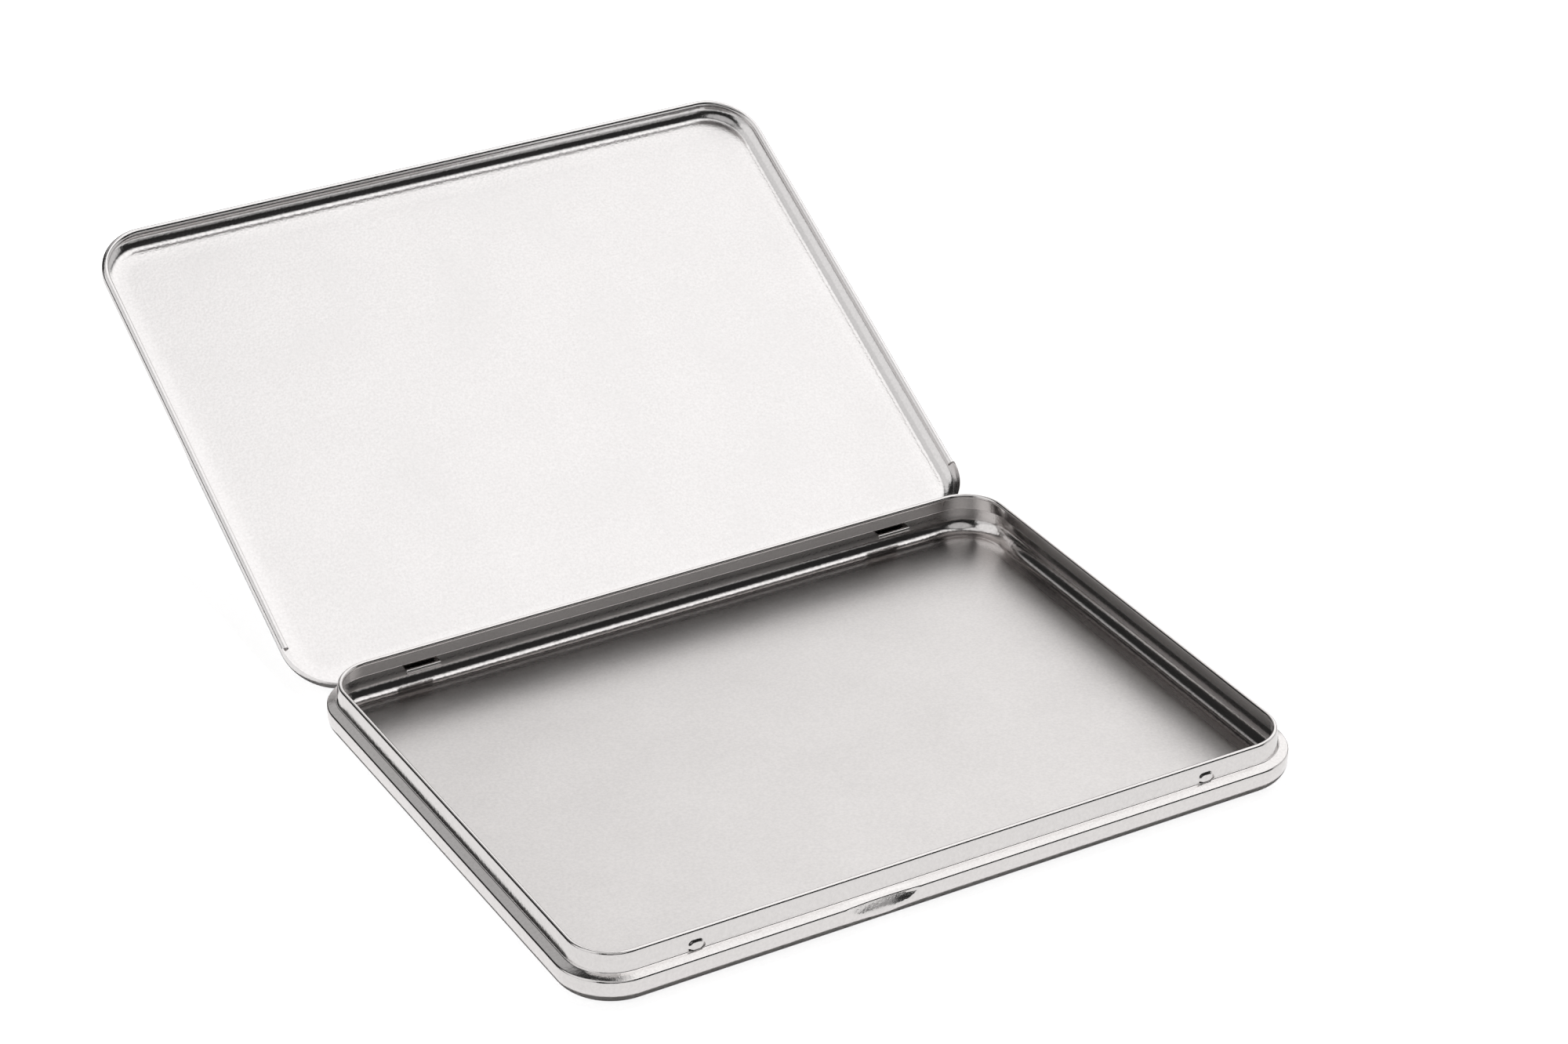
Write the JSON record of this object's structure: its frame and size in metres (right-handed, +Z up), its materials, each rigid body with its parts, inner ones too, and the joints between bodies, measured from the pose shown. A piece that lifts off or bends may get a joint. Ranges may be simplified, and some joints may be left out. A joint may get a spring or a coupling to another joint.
{
  "type": "hinged tin box",
  "caption": "Flat rectangular tinplate box with rounded corners, a stepped tray with a rolled rim and an overlapping lid on two back hinges, shown open and empty",
  "frame": {"origin": "middle of the tray's underside, on the surface it rests on", "axes": "X along the box's length, parallel to the hinge pin; +Y from the opening side to the hinges; +Z up"},
  "size_m": [0.19, 0.2722, 0.0723],
  "materials": {
    "tray_tinplate": "satin bare tinplate with a fine grain",
    "lid_tinplate": "satin bare tinplate with a fine grain"
  },
  "bodies": {
    "tray": {"tray": "tray_tinplate"},
    "lid": {"lid": "lid_tinplate"}
  },
  "joints": [
    {"name": "lid_hinge", "type": "hinge", "parent": "tray", "child": "lid", "pos_m": [0, 0.07225, 0.0057], "axis": [1, 0, 0], "range_deg": [0, 151.5]}
  ]
}
